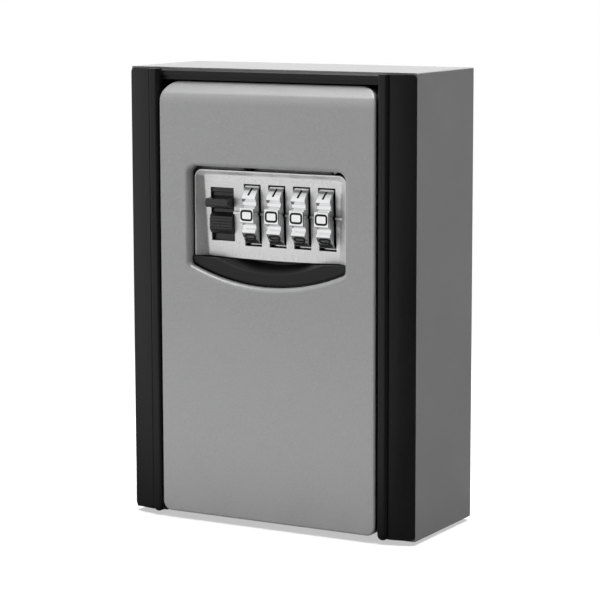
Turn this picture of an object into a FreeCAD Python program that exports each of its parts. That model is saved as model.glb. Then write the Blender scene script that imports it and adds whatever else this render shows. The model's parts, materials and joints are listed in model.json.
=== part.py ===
"""Wall-mounted key lock box with a drop-down door and a four-dial combination lock.

Frame: X to the right, Y from the front towards the wall, Z up. The origin is the centre of the back
face, which lies on the wall, so everything in front of the wall has negative Y. Depths in the sheet
are distances in front of the wall. Millimetres.
"""
import FreeCAD, Part
import math
import os
import re

import Sketcher

DIALS = 4
DIGITS = 10
HUMP_RIBS = 4
SIDES = (("left", -1), ("right", 1))
FOOT_SCREWS = ("dial_first - 1", "dial_first + 25")

# alias, value, meaning
SIZES = [
    # casing
    ("case_w", 85.0, "casing width"),
    ("case_tall", 120.0, "casing height"),
    ("case_d", 33.0, "casing depth, wall to front rim"),
    ("case_wall", 2.4, "casing side wall thickness"),
    ("case_back", 3.0, "casing back wall thickness"),
    ("case_round", 0.3, "casing outer edge rounding"),
    ("wall_hole_x", 46.0, "wall screw spacing across"),
    ("wall_hole_z", 76.0, "wall screw spacing up"),
    ("wall_hole_rad", 2.5, "wall screw hole radius"),
    ("keeper_w", 18.0, "width of the rib that the latch catches"),
    ("keeper_near", 24.2, "depth of the rib's wall side"),
    ("keeper_thick", 1.6, "thickness of the rib"),
    ("keeper_low", 54.0, "height of the rib's lower edge"),
    ("floor_notch", 6.0, "how far the floor is cut back to let the door swing"),
    ("lug_tall", 4.2, "height of a hinge lug above the floor"),
    ("lug_near", 26.5, "depth of a hinge lug's wall side"),
    ("lug_front", 32.5, "depth of a hinge lug's front"),
    # front frame
    ("bead_in", 32.7, "bead inner edge from the centre line"),
    ("bead_w", 2.9, "width of the bead beside the door"),
    ("bead_d", 36.0, "depth of the bead's crest"),
    ("bead_round", 0.9, "rounding of the bead's crest"),
    ("bead_low", -60.0, "height of the bead's round end"),
    ("band_in", 35.9, "outer band's inner edge from the centre line"),
    ("band_d", 35.2, "depth of the band's inner edge"),
    ("band_edge_d", 33.4, "depth of the band's outer edge"),
    ("band_arc", 22.0, "radius of the band's crown"),
    ("groove_d", 35.0, "depth of the groove between bead and band"),
    ("rail_half", 59.6, "half height of the rails"),
    ("rail_corner", 1.2, "rounding of the rails' outer corners"),
    ("frame_back_d", 33.05, "depth of the face that sits on the casing rim"),
    ("stop_half", 1.2, "half height of the stops that hold the pins in their seats"),
    ("seat_gap", 0.02, "clearance of a hinge pin in its seat"),
    ("skirt_d", 29.0, "depth that the skirts reach back to"),
    ("skirt_thick", 1.6, "skirt thickness"),
    ("bar_d", 34.0, "depth of the top bar's front"),
    ("bar_low", 57.9, "height of the top bar's lower edge"),
    ("bar_step", 0.6, "step from the bar to the web below it"),
    ("bar_edge", 0.5, "chamfer along the top of the bar"),
    ("skirt_low", 56.8, "height of the top skirt's lower edge"),
    # door
    ("door_w", 64.4, "door width"),
    ("door_top", 56.4, "height of the door's top edge"),
    ("door_low", -59.2, "height of the door's bottom edge"),
    ("door_d", 36.0, "depth of the door's front face"),
    ("door_back_d", 30.3, "depth of the door's rear edge"),
    ("door_skin", 2.6, "door plate thickness"),
    ("door_wall", 1.8, "door side wall thickness"),
    ("door_round_top", 5.0, "upper corner radius"),
    ("door_round_low", 2.5, "lower corner radius"),
    ("door_edge", 0.6, "rounding of the door's front edge"),
    ("door_hole_deep", 2.6, "depth of the screw holes in the door's bosses"),
    ("bevel_start", 50.4, "height where the face starts to roll back"),
    ("bevel_crease", 53.7, "height of the crease below the top bevel"),
    ("bevel_roll", 0.65, "how far the face has rolled back at the crease"),
    ("bevel_arc", 8.7, "radius of the roll"),
    ("bevel_slope", 2.7, "how far the top edge lies behind the face"),
    ("hinge_d", 31.2, "depth of the hinge axis"),
    ("hinge_z", -56.0, "height of the hinge axis"),
    ("pin_rad", 1.25, "hinge pin radius"),
    ("pin_len", 11.6, "hinge pin length"),
    ("pin_in", 26.6, "hinge pin's inner end from the centre line"),
    ("run_gap", 0.05, "running clearance of pins and shafts"),
    ("knuckle_rad", 2.6, "door knuckle radius"),
    ("knuckle_w", 6.4, "door knuckle width"),
    # lock window in the door
    ("win_half", 23.25, "half width of the lock window"),
    ("win_top", 34.4, "height of the window's top edge"),
    ("win_low", 3.3, "height of the window's lower edge at the middle"),
    ("win_arc", 57.5, "radius of the lower arc"),
    ("win_round", 2.2, "upper corner radius"),
    ("win_round_low", 1.4, "lower corner radius"),
    ("lip_round", 1.3, "rounding of the window's front lip"),
    ("fit_gap", 0.15, "gap between the window and what fills it"),
    # silver lock panel
    ("panel_rim_d", 33.7, "depth of the panel's rim"),
    ("panel_back_d", 30.6, "depth of the panel's back"),
    ("panel_floor_d", 31.05, "depth of the panel's floor, carried down to height 0"),
    ("panel_tilt", 2.2, "lean of the panel's floor, in degrees"),
    ("panel_low", 10.0, "height of the panel's lower edge at the middle"),
    ("panel_low_arc", 500.0, "radius of the panel's lower edge"),
    ("panel_gap", 0.55, "width of the open joint on the panel's left and right"),
    ("panel_gap_top", 1.0, "width of the open joint above the panel"),
    ("joint_d", 31.4, "depth of the bottom of that joint"),
    ("rim_w", 0.3, "width of the panel rim"),
    ("rim_round", 1.7, "upper corner radius inside the rim"),
    ("floor_corner", 1.0, "upper corner radius of the panel's floor"),
    ("floor_round", 1.2, "rounding between the sloping wall and the floor"),
    ("panel_hole_deep", 2.4, "depth of the screw holes in the panel"),
    ("bevel_w", 1.9, "width of the sloping wall inside the rim, at the top"),
    ("bevel_flare", 1.1, "how much wider the sloping wall is at the bottom"),
    ("bevel_top", 0.9, "height of the sloping wall along the top"),
    ("flange_half", 24.4, "half width of the flanges behind the door plate"),
    ("flange_top", 36.4, "height of the panel flange's upper edge"),
    ("flange_d", 33.3, "depth of the flange front"),
    ("slot_w", 5.1, "dial window width"),
    ("slot_rad", 10.85, "radius of the relief that opens a dial window"),
    ("button_x", -15.2, "centre of the release button"),
    ("button_slot_w", 7.1, "release slot width"),
    ("button_slot_low", 14.5, "height of the release slot's lower edge"),
    ("button_slot_top", 28.7, "height of the release slot's upper edge"),
    ("index_tall", 0.6, "height of the index ribs"),
    ("index_d", 32.4, "depth of the index ribs' front"),
    # finger pull
    ("pull_d", 34.2, "depth of the finger pull's face"),
    ("pull_flange_d", 30.4, "depth of the back of the finger pull's flange"),
    ("pull_back_d", 24.6, "depth of the back of the finger pull"),
    ("pull_top", 11.0, "height of the finger pull's top"),
    ("scoop_half", 16.5, "half width of the finger scoop"),
    ("scoop_top", 10.3, "height of the scoop's top"),
    ("scoop_arc", 40.0, "radius of the scoop's lower edge"),
    ("scoop_deep", 5.0, "depth of the scoop"),
    ("scoop_floor_half", 10.0, "half width of the scoop's floor"),
    ("scoop_floor_arc", 34.0, "radius of the scoop floor's lower edge"),
    ("scoop_wall", 2.2, "wall around the scoop"),
    # dials
    ("dial_z", 22.0, "height of the dial axis"),
    ("dial_d", 24.8, "depth of the dial axis"),
    ("dial_first", -6.0, "centre of the first dial"),
    ("dial_pitch", 7.4, "spacing of the dials"),
    ("dial_rad", 10.4, "axis to the flat of a number pad"),
    ("dial_w", 4.4, "dial width"),
    ("groove_top", 11.5, "axis to where a groove's walls are measured"),
    ("groove_half", 2.0, "half width of a groove there"),
    ("groove_flat", 0.4, "half width of a groove's bottom"),
    ("groove_rad", 9.3, "axis to a groove's bottom"),
    ("dial_edge", 0.3, "chamfer around a dial's faces"),
    ("dial_bore", 4.4, "dial bore radius"),
    ("key_w", 1.2, "key width"),
    ("key_reach", 5.0, "axis to the top of a key"),
    ("key_gap", 0.1, "gap around a key"),
    ("sleeve_rad", 4.3, "code sleeve radius"),
    ("sleeve_start", -2.8, "left end of a sleeve from its dial's centre"),
    ("sleeve_len", 7.3, "code sleeve length"),
    ("cam_rad", 5.6, "code cam radius"),
    ("cam_w", 1.6, "code cam width"),
    ("gate_w", 2.6, "width of the gate in the cam"),
    ("gate_deep", 1.2, "depth of the gate in the cam"),
    ("shaft_rad", 2.0, "dial shaft radius"),
    ("shaft_left", -12.5, "left end of the dial shaft"),
    ("shaft_right", 25.8, "right end of the dial shaft"),
    ("clip_rad", 3.4, "shaft clip radius"),
    ("clip_w", 0.6, "shaft clip thickness"),
    # release slide, fence and latch
    ("travel", 1.8, "travel of the release slide"),
    ("hump_d", 33.1, "depth of the thumb hump's crest"),
    ("rib_pitch", 0.75, "spacing of the ribs on the hump"),
    ("rib_deep", 0.28, "depth of the grooves between the ribs"),
    ("dip_d", 31.2, "depth of the flats above and below the ledge"),
    ("ledge_low", 23.6, "height of the ledge's underside"),
    ("ledge_top", 25.9, "height of the ledge's top"),
    ("ledge_d", 35.3, "depth of the ledge's nose"),
    ("nose_deep", 0.7, "how far the ledge's round nose stands out"),
    ("nose_arc", 1.3, "radius of the nose"),
    ("plate_d", 29.2, "depth of the slide plate's front"),
    ("plate_thick", 1.2, "slide plate thickness"),
    ("plate_left", -20.2, "left edge of the slide plate"),
    ("plate_right", -11.4, "right edge of the slide plate's stem"),
    ("plate_low", 13.0, "height of the slide plate's lower edge"),
    ("arm_low", 41.0, "height of the arm's lower edge"),
    ("arm_top", 47.2, "height of the arm's upper edge"),
    ("arm_right", 0.5, "right end of the arm"),
    ("fence_low", 35.1, "height of the fence bar's lower edge"),
    ("fence_tall", 2.5, "height of the fence bar"),
    ("fence_near", 23.6, "depth of the fence's wall side"),
    ("fence_thick", 2.4, "thickness of the fence bar"),
    ("fence_right", 21.4, "right end of the fence"),
    ("finger_gap", 0.3, "gap from fence finger to cam rim at full travel"),
    ("finger_w", 1.4, "width of a fence finger"),
    ("rivet_rad", 0.9, "rivet shank radius"),
    ("latch_half", 6.0, "half width of the latch bolt"),
    ("latch_near", 21.5, "depth of the latch bolt's wall side"),
    ("latch_thick", 2.4, "latch bolt thickness"),
    ("latch_low", 40.2, "height of the latch bolt's lower end"),
    ("latch_tip", 53.4, "height of the latch tip"),
    ("latch_well", 1.9, "half width of the latch spring's well"),
    ("hook_left", -5.6, "left edge of the lug that the slide pulls"),
    ("hook_right", -2.8, "right edge of the lug that the slide pulls"),
    ("hook_low", 43.8, "height of the lug's lower edge"),
    ("hook_top", 45.6, "height of the lug's upper edge"),
    # chassis, cover and fasteners
    ("cheek", 1.6, "chassis sheet thickness"),
    ("cheek_left", -10.7, "outer face of the left cheek"),
    ("cheek_right", 22.5, "outer face of the right cheek"),
    ("cheek_low", 13.6, "height of the cheeks' lower edge"),
    ("cheek_top", 31.6, "height of the cheeks' upper edge"),
    ("web_near", 12.4, "depth of the chassis web's wall side"),
    ("web_thick", 1.4, "thickness of the chassis web"),
    ("foot_near", 28.9, "depth of the chassis foot's wall side"),
    ("foot_top", 36.7, "height of the chassis foot's upper edge"),
    ("foot_hole_z", 34.5, "height of the chassis screws"),
    ("leaf", 0.3, "detent spring thickness"),
    ("leaf_w", 2.6, "width of a detent finger"),
    ("leaf_tip_d", 15.5, "depth that a detent tip reaches"),
    ("boss_x", 27.2, "screw boss centre from the centre line"),
    ("boss_low", 5.6, "height of the lower screw bosses"),
    ("boss_top", 46.0, "height of the upper screw bosses"),
    ("boss_rad", 2.6, "screw boss radius"),
    ("cover_half", 30.1, "half width of the back cover"),
    ("cover_low", 1.5, "height of the cover's lower edge"),
    ("cover_top", 50.0, "height of the cover's upper edge"),
    ("cover_d", 10.0, "depth of the cover's rear face"),
    ("cover_skin", 1.5, "cover wall thickness"),
    ("cover_round", 1.2, "rounding of the cover's rear edges"),
    ("cover_front_d", 30.2, "depth that the cover's walls reach"),
    ("well_d", 24.0, "depth of the screw head seats in the cover"),
    ("screw_rad", 1.2, "screw shank radius"),
    ("head_rad", 2.2, "screw head radius"),
    ("head_tall", 1.4, "screw head height"),
    ("coil_rad", 1.5, "spring coil radius"),
    ("wire_rad", 0.25, "spring wire radius"),
    ("spring_x", -22.9, "centre of the return spring"),
    ("spring_d", 26.0, "depth of the return spring"),
    ("shelf_top", 24.0, "height of the return spring's shelf"),
    ("tab_low", 34.0, "height of the tab over the return spring"),
    ("peg_top", 42.4, "height of the latch spring's peg"),
    ("reset_low", 18.6, "height of the reset lever's lower edge"),
    ("reset_top", 25.4, "height of the reset lever's upper edge"),
    ("reset_travel", 3.0, "travel of the code reset lever"),
    ("knob_x", 14.0, "centre of the reset knob"),
    ("knob_w", 4.0, "width of the reset knob"),
    ("knob_d", 8.4, "depth of the reset knob's face"),
]

doc = FreeCAD.newDocument("key_lock_box")
sheet = doc.addObject("Spreadsheet::Sheet", "Sizes")
for row, (alias, value, meaning) in enumerate(SIZES, start=1):
    sheet.set(f"A{row}", meaning)
    sheet.set(f"B{row}", str(value))
    sheet.setAlias(f"B{row}", alias)
doc.recompute()

ALIASES = re.compile(r"\b(" + "|".join(alias for alias, _, _ in SIZES) + r")\b")
nodes = []


# ---------------------------------------------------------------- helpers


def formula(text):
    """A sheet formula from text that uses the bare aliases."""
    return ALIASES.sub(r"Sizes.\1", str(text))


def number(text):
    """The value of a formula now."""
    found = sheet.evalExpression(formula(text))
    return float(getattr(found, "Value", found))


def bind(obj, **formulas):
    """Binds properties of obj to formulas. A double underscore in a name stands for a dot."""
    for prop, text in formulas.items():
        obj.setExpression(prop.replace("__", "."), formula(text))


def place(obj, x="0", y="0", z="0"):
    bind(obj, Placement__Base__x=x, Placement__Base__y=y, Placement__Base__z=z)


def node(obj, name):
    """Registers obj as the sub-part that is exported as name."""
    obj.Label = name
    nodes.append(obj)
    return obj


def new_body(name):
    return node(doc.addObject("PartDesign::Body", name + "_body"), name)


def new_sketch(body, plane, offset="0"):
    """A sketch on one of the body's origin planes, moved along its normal. XZ sketches face -Y."""
    sketch = body.newObject("Sketcher::SketchObject", body.Label + "_sketch")
    base = next(f for f in body.Origin.OriginFeatures if f.Role == plane + "_Plane")
    sketch.AttachmentSupport = (base, [""])
    sketch.MapMode = "FlatFace"
    bind(sketch, AttachmentOffset__Base__z=offset)
    return sketch


def pin_point(sketch, geometry, end, x, y):
    """Places one point of a sketch by two formulas."""
    for kind, text in (("DistanceX", x), ("DistanceY", y)):
        index = sketch.addConstraint(
            Sketcher.Constraint(kind, -1, 1, geometry, end, number(text))
        )
        sketch.setExpression(f"Constraints[{index}]", formula(text))


def draw(sketch, points, arcs=None):
    """Draws a closed outline through points given as formulas. arcs maps a side's number to
    (radius formula, bulge), where bulge is 1 to the right of the direction of travel, -1 to the left."""
    arcs = arcs or {}
    values = [FreeCAD.Vector(number(x), number(y), 0) for x, y in points]
    ends = []
    for side, start in enumerate(values):
        stop = values[(side + 1) % len(values)]
        if side in arcs:
            radius, bulge = arcs[side]
            chord = stop - start
            half = chord.Length / 2
            rise = number(radius) - math.sqrt(number(radius) ** 2 - half**2)
            across = FreeCAD.Vector(chord.y, -chord.x, 0).normalize() * rise * bulge
            geometry = sketch.addGeometry(Part.Arc(start, (start + stop) / 2 + across, stop))
            index = sketch.addConstraint(
                Sketcher.Constraint("Radius", geometry, number(radius))
            )
            sketch.setExpression(f"Constraints[{index}]", formula(radius))
            forward = (sketch.getPoint(geometry, 1) - start).Length < 1e-6
            ends.append((geometry, 1, 2) if forward else (geometry, 2, 1))
        else:
            ends.append((sketch.addGeometry(Part.LineSegment(start, stop)), 1, 2))
    for side, (geometry, first, _) in enumerate(ends):
        before, _, last = ends[side - 1]
        sketch.addConstraint(Sketcher.Constraint("Coincident", before, last, geometry, first))
        pin_point(sketch, geometry, first, *points[side])


def draw_box(sketch, left, low, right, top):
    draw(sketch, [(left, low), (right, low), (right, top), (left, top)])


def draw_circle(sketch, x, y, radius):
    centre = FreeCAD.Vector(number(x), number(y), 0)
    circle = sketch.addGeometry(Part.Circle(centre, FreeCAD.Vector(0, 0, 1), number(radius)))
    index = sketch.addConstraint(Sketcher.Constraint("Radius", circle, number(radius)))
    sketch.setExpression(f"Constraints[{index}]", formula(radius))
    pin_point(sketch, circle, 3, x, y)


def settle(made):
    """Recomputes, and stops the build if the new feature failed."""
    doc.recompute()
    if "Invalid" in made.State or "Error" in made.State or made.Shape.isNull():
        raise RuntimeError(f"{made.Name}: {made.State} {made.getStatusString()}")


def feature(body, kind, sketch, length, both_ways=False, backwards=False):
    """A Pad or Pocket of one length. A Pocket has to change the solid, or the build stops."""
    before = body.Shape.Volume if body.Shape and not body.Shape.isNull() else 0.0
    made = body.newObject("PartDesign::" + kind, f"{body.Label}_{kind.lower()}")
    made.Profile = sketch
    bind(made, Length=length)
    made.SideType = "Symmetric" if both_ways else "One side"
    made.Reversed = backwards
    sketch.Visibility = False
    settle(made)
    if abs(body.Shape.Volume - before) < 1e-6:
        raise RuntimeError(f"{made.Name} changed nothing")
    return made


def pad(body, sketch, length, **options):
    return feature(body, "Pad", sketch, length, **options)


def pocket(body, sketch, length, **options):
    return feature(body, "Pocket", sketch, length, **options)


def pad_box(body, plane, offset, corners, length, **options):
    sketch = new_sketch(body, plane, offset)
    draw_box(sketch, *corners)
    return pad(body, sketch, length, **options)


def cut_box(body, plane, offset, corners, length, **options):
    sketch = new_sketch(body, plane, offset)
    draw_box(sketch, *corners)
    return pocket(body, sketch, length, **options)


def drill(body, plane, offset, centres, radius, length, **options):
    sketch = new_sketch(body, plane, offset)
    for x, y in centres:
        draw_circle(sketch, x, y, radius)
    return pocket(body, sketch, length, **options)


def round_edges(body, radius, chosen, kind="Fillet"):
    """Fillets or chamfers the edges of the body that chosen(edge) picks."""
    tip = body.Tip
    names = [f"Edge{i}" for i, edge in enumerate(tip.Shape.Edges, start=1) if chosen(edge)]
    if not names:
        raise RuntimeError(f"{body.Label}: no edge to round")
    made = body.newObject("PartDesign::" + kind, f"{body.Label}_{kind.lower()}")
    made.Base = (tip, names)
    bind(made, **{"Radius" if kind == "Fillet" else "Size": radius})
    settle(made)
    return made


def mirror(body, originals, plane="YZ"):
    made = body.newObject("PartDesign::Mirrored", body.Label + "_mirror")
    made.Originals = originals
    base = next(f for f in body.Origin.OriginFeatures if f.Role == plane + "_Plane")
    made.MirrorPlane = (base, [""])
    body.Tip = made
    settle(made)
    return made


def around_x(body, originals):
    """Repeats features once for each digit around the body's X axis."""
    made = body.newObject("PartDesign::PolarPattern", body.Label + "_digits")
    made.Originals = originals
    axis = next(f for f in body.Origin.OriginFeatures if f.Role == "X_Axis")
    made.Axis = (axis, [""])
    made.Angle = 360
    made.Occurrences = DIGITS
    body.Tip = made
    settle(made)
    return made


def runs_along(edge, direction):
    """Whether a straight edge is parallel to direction."""
    if edge.Curve.TypeId != "Part::GeomLine":
        return False
    return abs(edge.tangentAt(edge.FirstParameter).dot(FreeCAD.Vector(*direction))) > 0.999


def lies_at(edge, axis, value):
    """Whether the whole edge lies in the plane where the coordinate axis equals value."""
    box = edge.BoundBox
    low, high = getattr(box, axis + "Min"), getattr(box, axis + "Max")
    return abs(low - value) < 1e-3 and abs(high - value) < 1e-3


def cylinder(name, radius, length, x="0", y="0", z="0", axis=(0, 0, 1)):
    made = doc.addObject("Part::Cylinder", name)
    made.Placement.Rotation = FreeCAD.Rotation(FreeCAD.Vector(0, 0, 1), FreeCAD.Vector(*axis))
    bind(made, Radius=radius, Height=length)
    place(made, x, y, z)
    return made


def block(name, x, y, z):
    """A box from three (low, high) pairs of formulas."""
    made = doc.addObject("Part::Box", name)
    spans = [f"({high}) - ({low})" for low, high in (x, y, z)]
    bind(made, Length=spans[0], Width=spans[1], Height=spans[2])
    place(made, x[0], y[0], z[0])
    return made


def fuse(name, shapes):
    made = doc.addObject("Part::MultiFuse", name)
    made.Shapes = shapes
    return made


def cut(name, base, tool):
    made = doc.addObject("Part::Cut", name)
    made.Base = base
    made.Tool = tool
    return made


def group(name, shapes):
    """Several separate solids that share one node."""
    made = doc.addObject("Part::Compound", name + "_group")
    made.Links = shapes
    return node(made, name)


def screw(name, x, head_y, z, length, towards=-1):
    """A pan-head screw along Y: its head seats at head_y and its shank runs towards the front."""
    axis = (0, towards, 0)
    shank = cylinder(name + "_shank", "screw_rad", length, x, head_y, z, axis)
    head = cylinder(name + "_head", "head_rad", "head_tall", x, head_y, z, (0, -towards, 0))
    drive = block(
        name + "_drive",
        (f"{x} - 1.8", f"{x} + 1.8"),
        (f"{head_y} + head_tall - 0.7", f"{head_y} + head_tall + 0.1"),
        (f"{z} - 0.35", f"{z} + 0.35"),
    )
    cross = block(
        name + "_cross",
        (f"{x} - 0.35", f"{x} + 0.35"),
        (f"{head_y} + head_tall - 0.7", f"{head_y} + head_tall + 0.1"),
        (f"{z} - 1.8", f"{z} + 1.8"),
    )
    recess = fuse(name + "_recess", [drive, cross])
    return cut(name, fuse(name + "_blank", [shank, head]), recess)


def coil(name, radius, wire, length, turns, x, y, z):
    """A compression spring along Z that starts at z. The sweep has no sheet-bound primitive."""
    helix = Part.makeHelix(number(length) / turns, number(length), number(radius))
    section = Part.Wire(
        Part.makeCircle(
            number(wire), FreeCAD.Vector(number(radius), 0, 0), FreeCAD.Vector(0, 1, 0)
        )
    )
    made = doc.addObject("Part::Feature", name + "_coil")
    made.Shape = Part.Wire(helix).makePipeShell([section], True, True)
    place(made, x, y, z)
    return node(made, name)


def draw_rounded(sketch, left, low, right, top, low_radius, top_radius):
    """A box whose lower and upper corners are rounded."""
    points = [
        (f"{left} + ({low_radius})", low),
        (f"{right} - ({low_radius})", low),
        (right, f"{low} + ({low_radius})"),
        (right, f"{top} - ({top_radius})"),
        (f"{right} - ({top_radius})", top),
        (f"{left} + ({top_radius})", top),
        (left, f"{top} - ({top_radius})"),
        (left, f"{low} + ({low_radius})"),
    ]
    arcs = {1: (low_radius, 1), 3: (top_radius, 1), 5: (top_radius, 1), 7: (low_radius, 1)}
    draw(sketch, points, arcs)


def signed(side, text):
    """A formula on the left or right of the centre line."""
    return f"{side} * ({text})"


# ---------------------------------------------------------------- casing and front frame


def make_casing():
    body = new_body("casing")
    half, tall = "case_w / 2", "case_tall / 2"
    pad_box(body, "XZ", "0", (f"-{half}", f"-{tall}", half, tall), "case_d")
    front = -number("case_d")
    round_edges(body, "case_round", lambda edge: not lies_at(edge, "Y", front))
    inner, ceiling = f"{half} - case_wall", f"{tall} - case_wall"
    cavity = (f"-({inner})", f"-({ceiling})", inner, ceiling)
    cut_box(body, "XZ", "case_d", cavity, "case_d - case_back")
    notch = ("-bead_in - 0.05", f"-{tall} - 1", "bead_in + 0.05", f"-{tall} + case_wall + 0.1")
    cut_box(body, "XZ", "case_d", notch, "floor_notch")
    rib = ("-keeper_w / 2", "keeper_low", "keeper_w / 2", f"{ceiling} + 0.5")
    pad_box(body, "XZ", "keeper_near", rib, "keeper_thick")
    for _, side in SIDES:
        lug = new_sketch(body, "XZ", "lug_near")
        near, far = ("bead_in + 0.05", f"{inner} + 0.5") if side > 0 else (
            f"-({inner}) - 0.5",
            "-bead_in - 0.05",
        )
        draw_box(lug, near, f"-{tall} + case_wall - 0.5", far, f"-{tall} + case_wall + lug_tall")
        pad(body, lug, "lug_front - lug_near")
        start = "bead_in - 1" if side > 0 else "-pin_in - pin_len"
        seat = new_sketch(body, "YZ", start)
        width = "(pin_rad + seat_gap)"
        points = [
            ("-hinge_d", f"hinge_z + {width}"),
            ("-hinge_d", f"hinge_z - {width}"),
            ("-lug_front - 1", f"hinge_z - {width}"),
            ("-lug_front - 1", f"hinge_z + {width}"),
        ]
        draw(seat, points, {0: (f"{width} * 1.0001", -1)})
        pocket(body, seat, "pin_in + pin_len - bead_in + 1", backwards=True)
    corners = [
        (f"{x} * wall_hole_x / 2", f"{z} * wall_hole_z / 2") for x in (-1, 1) for z in (-1, 1)
    ]
    drill(body, "XZ", "case_back", corners, "wall_hole_rad", "case_back")


def make_front_frame():
    body = new_body("front_frame")
    half = "case_w / 2"
    lip = f"{half} - case_wall - 0.1"
    band = new_sketch(body, "XY", "-rail_half")
    draw(
        band,
        [
            ("bead_in + 1", "-frame_back_d"),
            ("bead_in + 1", "-groove_d"),
            ("band_in - 0.3", "-groove_d"),
            ("band_in", "-band_d"),
            (half, "-band_edge_d"),
            (half, "-frame_back_d"),
        ],
        {3: ("band_arc", 1)},
    )
    rails = [pad(body, band, "2 * rail_half")]
    bead = new_sketch(body, "XZ", "frame_back_d")
    outer = "bead_in + bead_w"
    draw(
        bead,
        [
            ("bead_in", "bead_low + bead_w / 2"),
            (outer, "bead_low + bead_w / 2"),
            (outer, "rail_half"),
            ("bead_in", "rail_half"),
        ],
        {0: ("bead_w / 2 * 1.00001", 1)},
    )
    rails.append(pad(body, bead, "bead_d - frame_back_d"))
    skirts = new_sketch(body, "XZ", "skirt_d")
    low = "-case_tall / 2 + case_wall + lug_tall + 0.4"
    draw_box(skirts, "bead_in", low, "bead_in + skirt_thick", "skirt_low")
    draw_box(skirts, f"{lip} - skirt_thick", low, lip, "skirt_low")
    rails.append(pad(body, skirts, "frame_back_d + 0.2 - skirt_d"))
    stop = ("bead_in + 1.2", "hinge_z - stop_half", "pin_in + pin_len - 1", "hinge_z + stop_half")
    rails.append(
        pad_box(body, "XZ", "hinge_d + pin_rad + 0.05", stop, "frame_back_d - hinge_d - pin_rad")
    )
    mirror(body, rails)
    crest = -number("bead_d")
    along = number("bead_w") + 0.1
    round_edges(body, "bead_round", lambda e: lies_at(e, "Y", crest) and e.Length > along)
    ceiling = "case_tall / 2 - case_wall - 0.1"
    pad_box(
        body, "XZ", "skirt_d", ("-bead_in - 0.5", "skirt_low", "bead_in + 0.5", ceiling),
        "frame_back_d + 0.1 - skirt_d",
    )
    pad_box(
        body, "XZ", "frame_back_d", ("-bead_in - 0.5", "skirt_low", "bead_in + 0.5", "rail_half"),
        "bar_d - bar_step - frame_back_d",
    )
    pad_box(
        body, "XZ", "bar_d - bar_step - 0.1",
        ("-bead_in - 0.5", "bar_low", "bead_in + 0.5", "rail_half"), "bar_step + 0.1",
    )
    bar_front = -number("bar_d")
    round_edges(
        body, "bar_edge", lambda e: lies_at(e, "Y", bar_front) and e.CenterOfMass.z > 59, "Chamfer"
    )
    corners = new_sketch(body, "XZ", "band_d + 1")
    for across in (-1, 1):
        for up in (-1, 1):
            low, end, beyond = "rail_half - rail_corner", "rail_half", "rail_half + 1"
            side, inside, outside = "case_w / 2", "case_w / 2 - rail_corner", "case_w / 2 + 1"
            points = [(side, low), (inside, end), (inside, beyond), (outside, beyond), (outside, low)]
            points = [(signed(across, x), signed(up, z)) for x, z in points]
            draw(corners, points, {0: ("rail_corner", across * up)})
    pocket(body, corners, "band_d + 1 - frame_back_d")


def make_hinge_pins():
    pins = [
        cylinder(
            f"hinge_pin_{name}", "pin_rad", "pin_len",
            "pin_in" if side > 0 else "-pin_in - pin_len", "-hinge_d", "hinge_z", (1, 0, 0),
        )
        for name, side in SIDES
    ]
    group("hinge_pins", pins)


# ---------------------------------------------------------------- door, panel and finger pull


def window_end():
    """Height at which the window's straight side meets the lower arc."""
    return "win_low + win_arc - sqrt(win_arc ^ 2 - win_half ^ 2)"


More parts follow.
